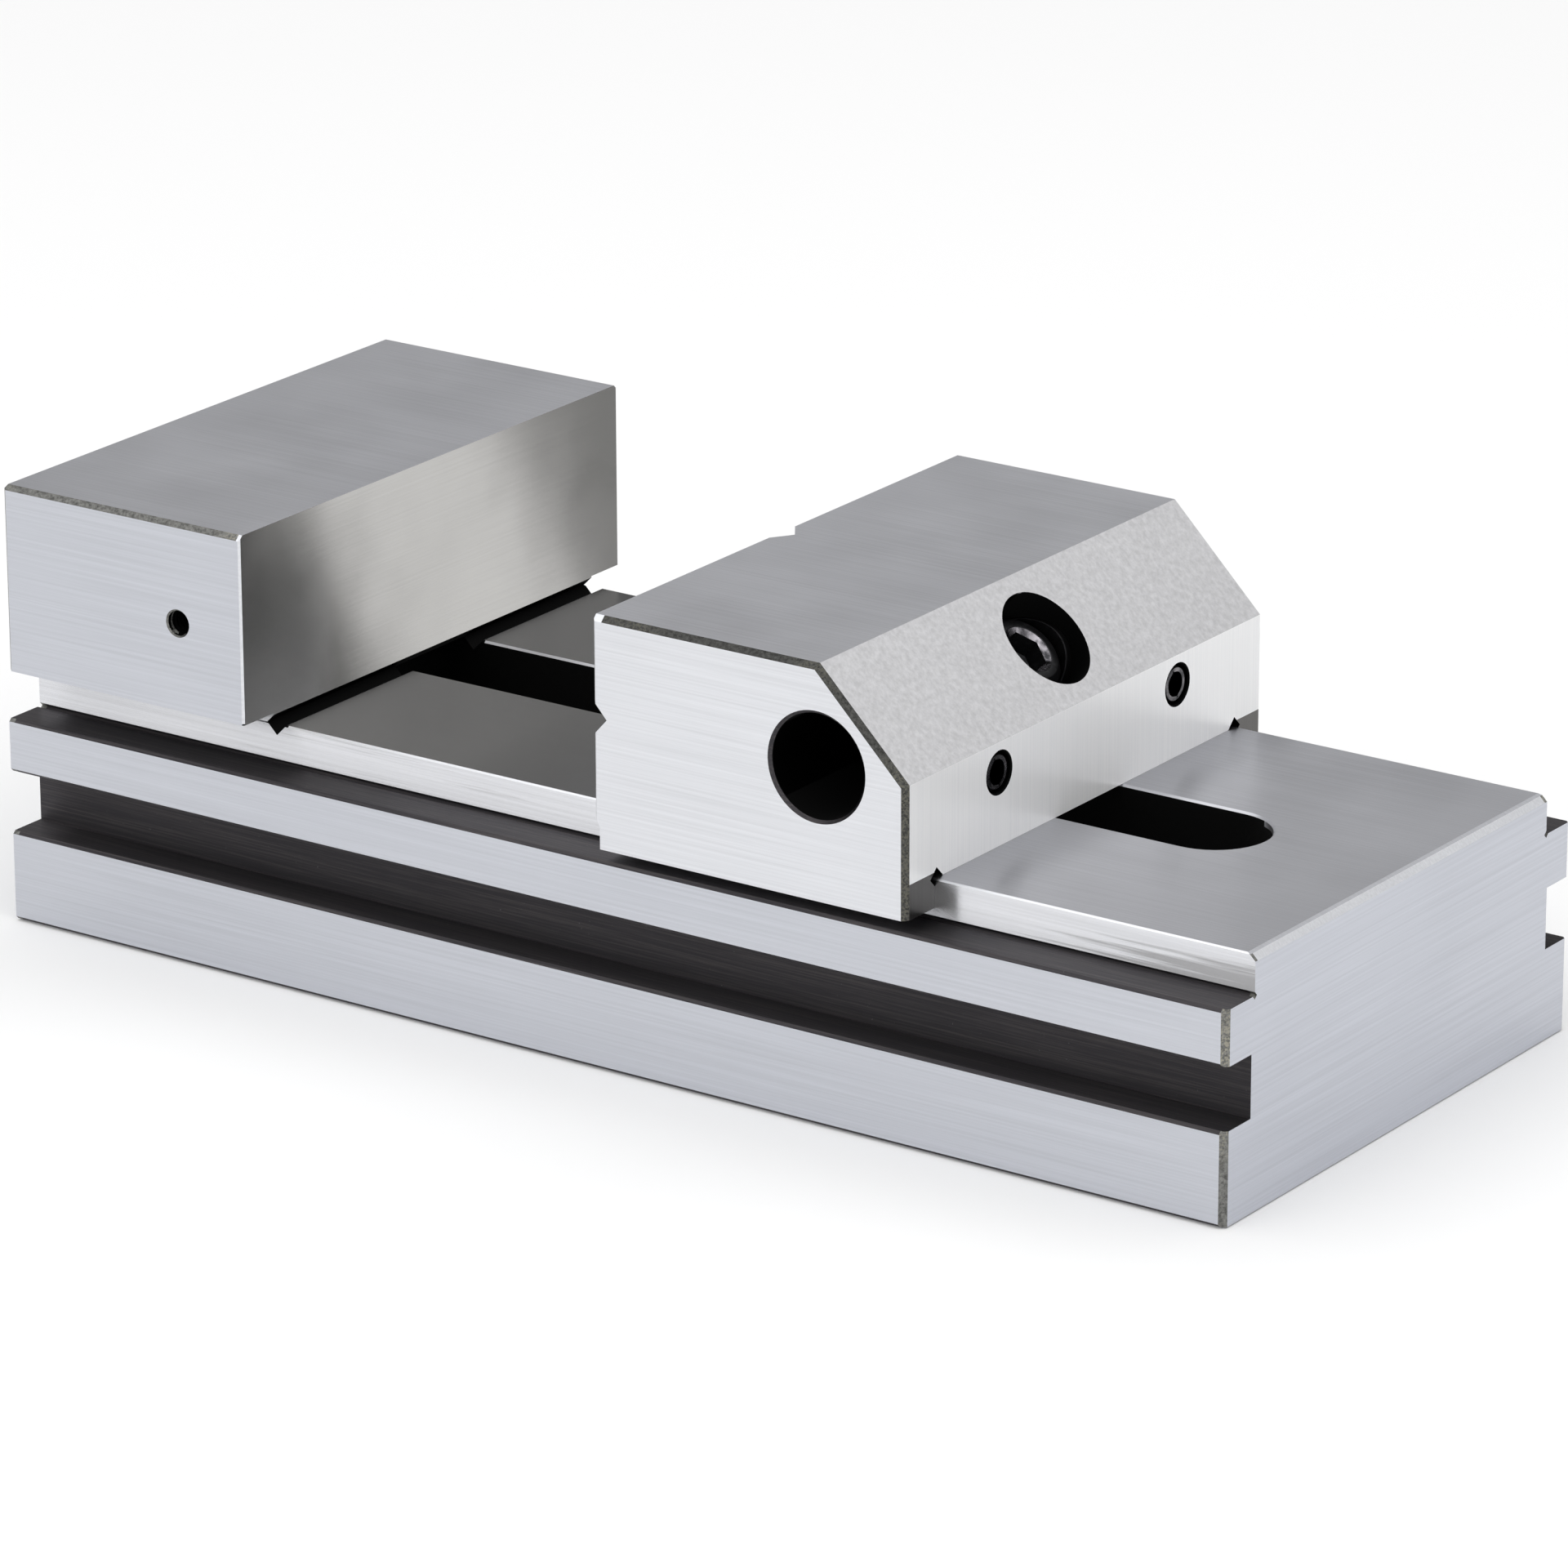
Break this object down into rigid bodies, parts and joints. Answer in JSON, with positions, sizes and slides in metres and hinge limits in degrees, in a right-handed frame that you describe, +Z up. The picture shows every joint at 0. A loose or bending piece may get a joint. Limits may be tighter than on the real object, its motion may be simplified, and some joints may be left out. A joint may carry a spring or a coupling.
{
  "type": "precision clamp",
  "caption": "Screwless precision clamp: a ground steel body with fixed jaw and guide bed, and a straddling jaw that an inclined screw and a pull nut in notches draw forward and down",
  "frame": {"origin": "middle of the underside of the body, on the surface that the clamp stands on", "axes": "+X along the bed from the fixed jaw to the free end, the way the moving jaw opens; +Y across the jaws; +Z up"},
  "size_m": [0.277, 0.12, 0.0885],
  "materials": {
    "ground_body": "hardened tool steel, fine ground, with blackened grooves",
    "ground_jaw": "hardened tool steel, fine ground",
    "turned_steel": "turned steel, hardened and blackened",
    "bright_steel": "hardened steel, ground flat",
    "black_screw": "black oxide on a hardened screw",
    "spring_steel": "oiled spring steel"
  },
  "bodies": {
    "vise_body": {"body": "ground_body"},
    "moving_jaw": {"moving_jaw": "ground_jaw", "retaining_screws": "black_screw"},
    "cross_bolt": {"cross_bolt": "turned_steel", "thrust_washer": "bright_steel", "screw_spring": "spring_steel"},
    "clamping_screw": {"clamping_screw": "black_screw", "stop_ring": "spring_steel"},
    "draw_nut": {"draw_nut": "turned_steel"}
  },
  "joints": [
    {"name": "jaw_slide", "type": "slide", "parent": "vise_body", "child": "moving_jaw", "axis": [1, 0, 0], "range_m": [-0.082, 0.0615]},
    {"name": "bolt_swing", "type": "hinge", "parent": "moving_jaw", "child": "cross_bolt", "pos_m": [0.0511, 0, 0.069], "axis": [0, 1, 0], "range_deg": [0, 4]},
    {"name": "screw_turn", "type": "hinge", "parent": "cross_bolt", "child": "clamping_screw", "pos_m": [0.0511, 0, 0.069], "axis": [-0.6428, 0, -0.766], "range_deg": [0, 2520]},
    {"name": "nut_draw", "type": "slide", "parent": "cross_bolt", "child": "draw_nut", "axis": [0.6428, 0, 0.766], "range_m": [0, 0.0105], "deforming": ["screw_spring"]}
  ],
  "couplings": [
    {"joint": "screw_turn", "follows": "nut_draw", "rad_per_m": 4188.8}
  ]
}
